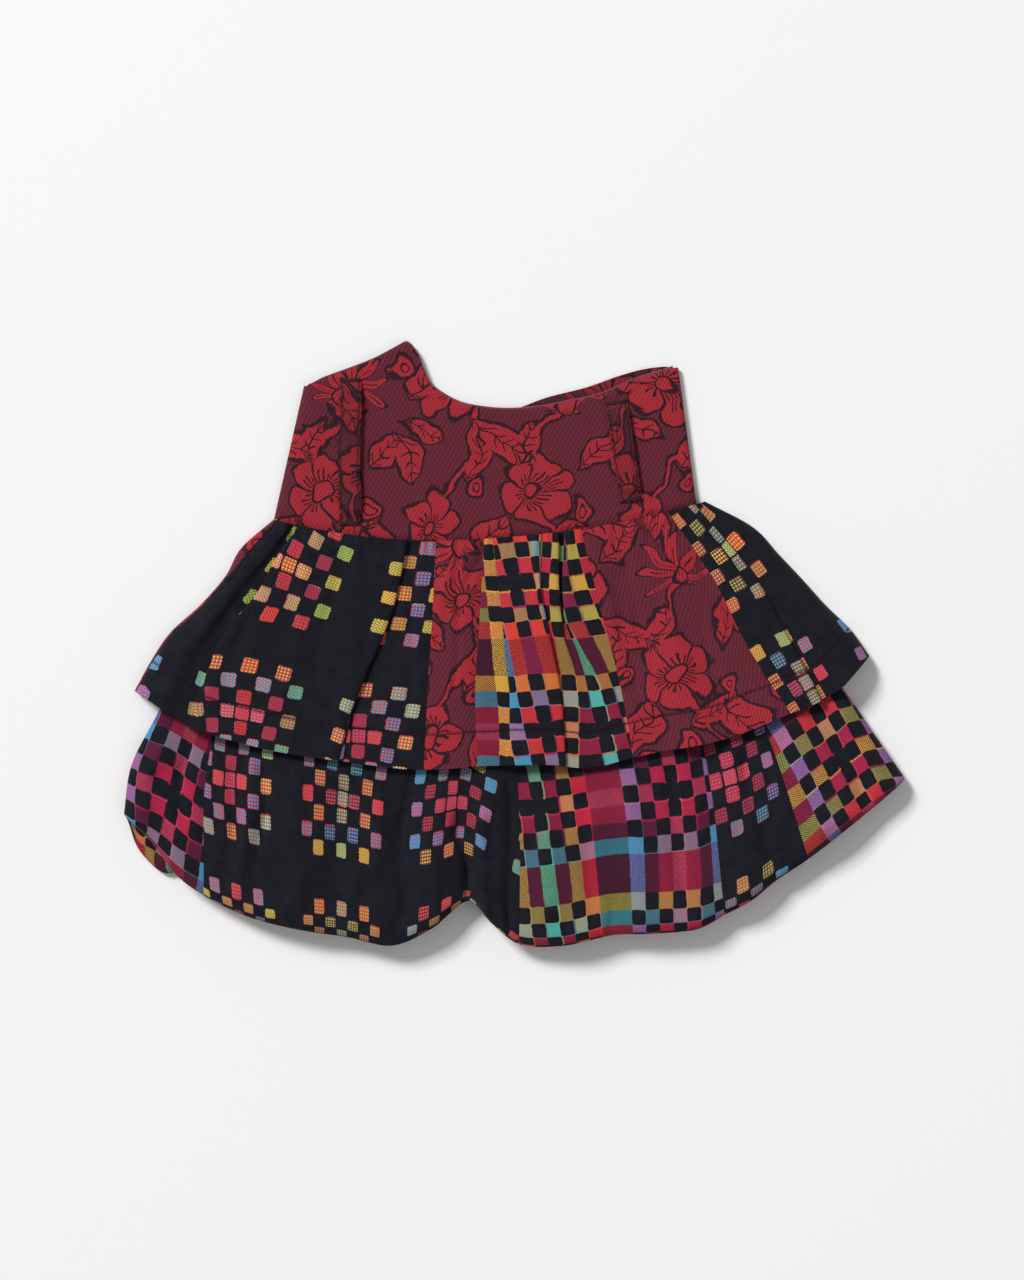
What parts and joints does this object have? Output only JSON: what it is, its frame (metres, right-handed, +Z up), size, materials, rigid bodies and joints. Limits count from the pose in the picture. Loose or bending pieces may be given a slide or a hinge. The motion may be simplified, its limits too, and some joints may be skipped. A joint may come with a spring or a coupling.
{
  "type": "balloon skirt",
  "caption": "Patchwork balloon skirt with a shaped waistband, belt loops and a pleated peplum, laid flat with its hem rolled under.",
  "frame": {"origin": "middle of the bounding box, on the plane that the skirt lies on", "axes": "+X to the viewer's right across the front, +Y from the hem up to the waistband, +Z up from the table through the front"},
  "size_m": [0.6727, 0.5197, 0.0297],
  "materials": {
    "jacquard": "wine floral jacquard, satin twill ground",
    "facing": "wine twill",
    "strap": "wine floral jacquard, topstitched",
    "black_check": "brushed black double cloth with a small coloured check",
    "plaid": "multicolour checked double cloth"
  },
  "bodies": {
    "root": {"band_front": "jacquard", "band_back": "jacquard", "band_front_facing": "facing", "band_back_facing": "facing", "belt_loop_left": "strap", "belt_loop_right": "strap", "peplum_black_left": "black_check", "peplum_floral_narrow": "jacquard", "peplum_plaid_pleat": "plaid", "peplum_floral_wide": "jacquard", "peplum_black_right": "black_check", "peplum_plaid_back": "plaid", "peplum_floral_back": "jacquard", "balloon_plaid_left": "plaid", "balloon_black_left": "black_check", "balloon_plaid_centre": "plaid", "balloon_black_right": "black_check", "balloon_plaid_right": "plaid", "balloon_black_back": "black_check"}
  },
  "joints": []
}
